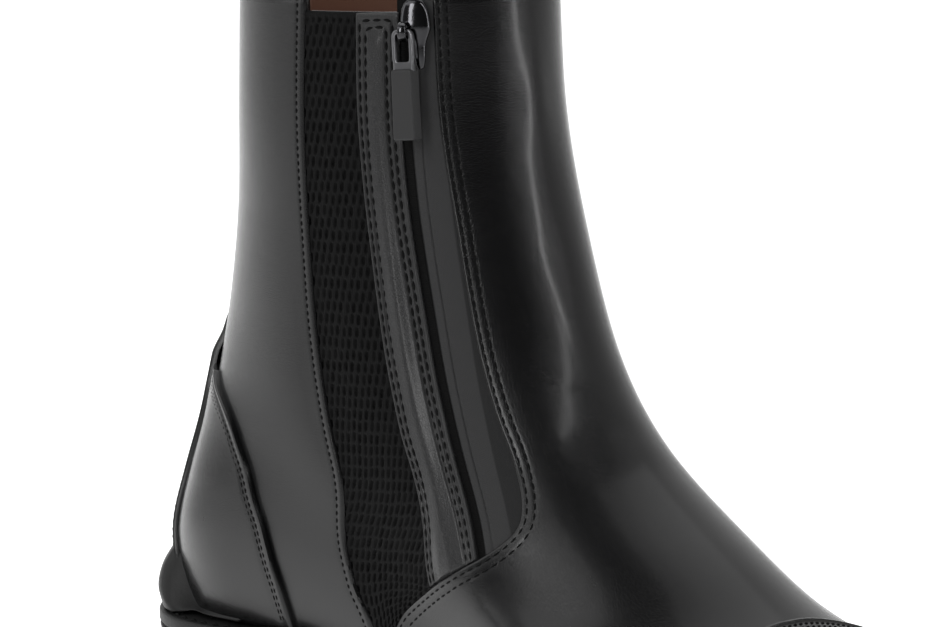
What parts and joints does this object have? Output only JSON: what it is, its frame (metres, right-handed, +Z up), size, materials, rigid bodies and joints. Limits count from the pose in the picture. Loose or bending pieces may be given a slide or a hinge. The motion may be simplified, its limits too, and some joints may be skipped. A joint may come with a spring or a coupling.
{
  "type": "zip ankle boot",
  "caption": "Black leather ankle boot with a side zip, elastic gore, toe cap, heel counter, spur rest and a low block heel.",
  "frame": {"origin": "on the floor under the middle of the heel", "axes": "+X to the toe, +Y to the inner side of the foot, +Z up to the collar"},
  "size_m": [0.2609, 0.0939, 0.2012],
  "materials": {
    "leather": "smooth polished black leather",
    "strip_leather": "black leather strip with stitched edges",
    "elastic": "matt black woven elastic",
    "zip_band": "dark grey reverse-coil zip band, satin",
    "dark_metal": "dark polished nickel",
    "pull_paint": "matt dark grey paint",
    "lining": "brown lining leather",
    "rubber": "black rubber, satin"
  },
  "bodies": {
    "boot": {"upper": "leather", "toe_cap": "leather", "heel_counter": "leather", "backstay": "strip_leather", "zip_placket": "leather", "elastic_gore": "elastic", "zip_tape": "zip_band", "zip_slider": "dark_metal", "insole": "lining", "spur_rest": "rubber", "outsole": "rubber", "heel": "rubber"},
    "pull": {"zip_pull": "pull_paint"}
  },
  "joints": [
    {"name": "zip_pull_swing", "type": "hinge", "parent": "boot", "child": "pull", "pos_m": [0.06436, -0.03199, 0.19054], "axis": [-0.9714, -0.2258, -0.0738], "range_deg": [0, 150]}
  ]
}
